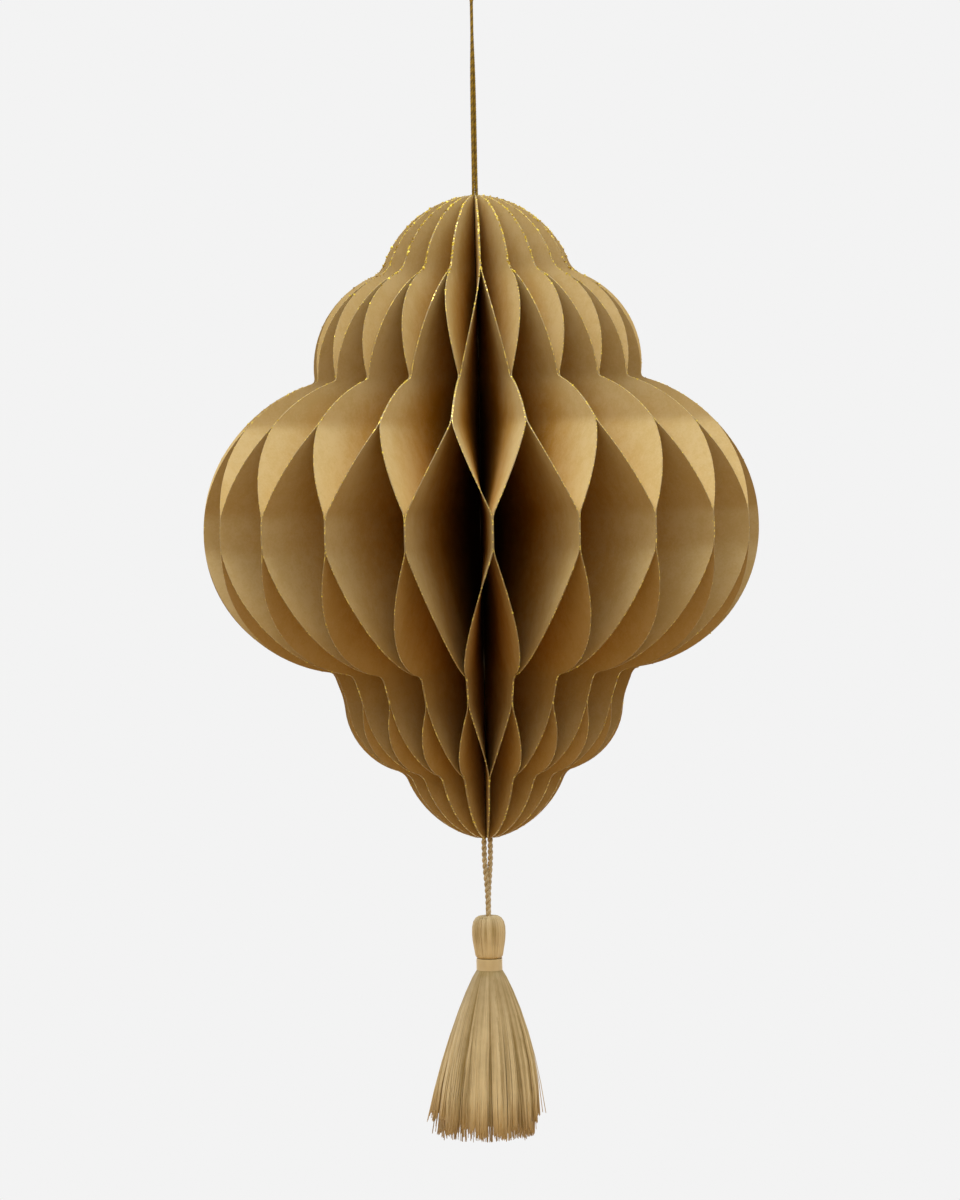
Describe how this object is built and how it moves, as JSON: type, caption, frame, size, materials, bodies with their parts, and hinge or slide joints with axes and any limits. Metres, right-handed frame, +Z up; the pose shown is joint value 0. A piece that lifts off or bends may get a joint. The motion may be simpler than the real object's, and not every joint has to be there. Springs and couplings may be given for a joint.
{
  "type": "honeycomb paper ornament",
  "caption": "Hanging ornament of gold paper leaves on a spine, glued by turns into open cells, with a cord loop above and a silky tassel below.",
  "frame": {"origin": "point at the top of the hanging loop where it bears on its hook", "axes": "+Z up along the ornament's axis, -Y to the front as in the picture, +X to its right"},
  "size_m": [0.1727, 0.1726, 0.3659],
  "materials": {
    "leaf_paper": "pearly satin with glitter edges",
    "spine_card": "matte",
    "gold_cord": "twisted metallic yarn",
    "tassel_silk": "silky yarn"
  },
  "bodies": {
    "root": {"leaf_01": "leaf_paper", "leaf_02": "leaf_paper", "leaf_03": "leaf_paper", "leaf_04": "leaf_paper", "leaf_05": "leaf_paper", "leaf_06": "leaf_paper", "leaf_07": "leaf_paper", "leaf_08": "leaf_paper", "leaf_09": "leaf_paper", "leaf_10": "leaf_paper", "leaf_11": "leaf_paper", "leaf_12": "leaf_paper", "leaf_13": "leaf_paper", "leaf_14": "leaf_paper", "leaf_15": "leaf_paper", "leaf_16": "leaf_paper", "leaf_17": "leaf_paper", "leaf_18": "leaf_paper", "leaf_19": "leaf_paper", "leaf_20": "leaf_paper", "leaf_21": "leaf_paper", "leaf_22": "leaf_paper", "leaf_23": "leaf_paper", "leaf_24": "leaf_paper", "leaf_25": "leaf_paper", "leaf_26": "leaf_paper", "leaf_27": "leaf_paper", "leaf_28": "leaf_paper", "leaf_29": "leaf_paper", "leaf_30": "leaf_paper", "leaf_31": "leaf_paper", "leaf_32": "leaf_paper", "leaf_33": "leaf_paper", "leaf_34": "leaf_paper", "leaf_35": "leaf_paper", "leaf_36": "leaf_paper", "leaf_37": "leaf_paper", "leaf_38": "leaf_paper", "leaf_39": "leaf_paper", "leaf_40": "leaf_paper", "leaf_41": "leaf_paper", "leaf_42": "leaf_paper", "spine": "spine_card", "hanger_cord": "gold_cord", "tassel_cord": "tassel_silk", "tassel_yarns": "tassel_silk", "neck_binding": "tassel_silk"}
  },
  "joints": []
}
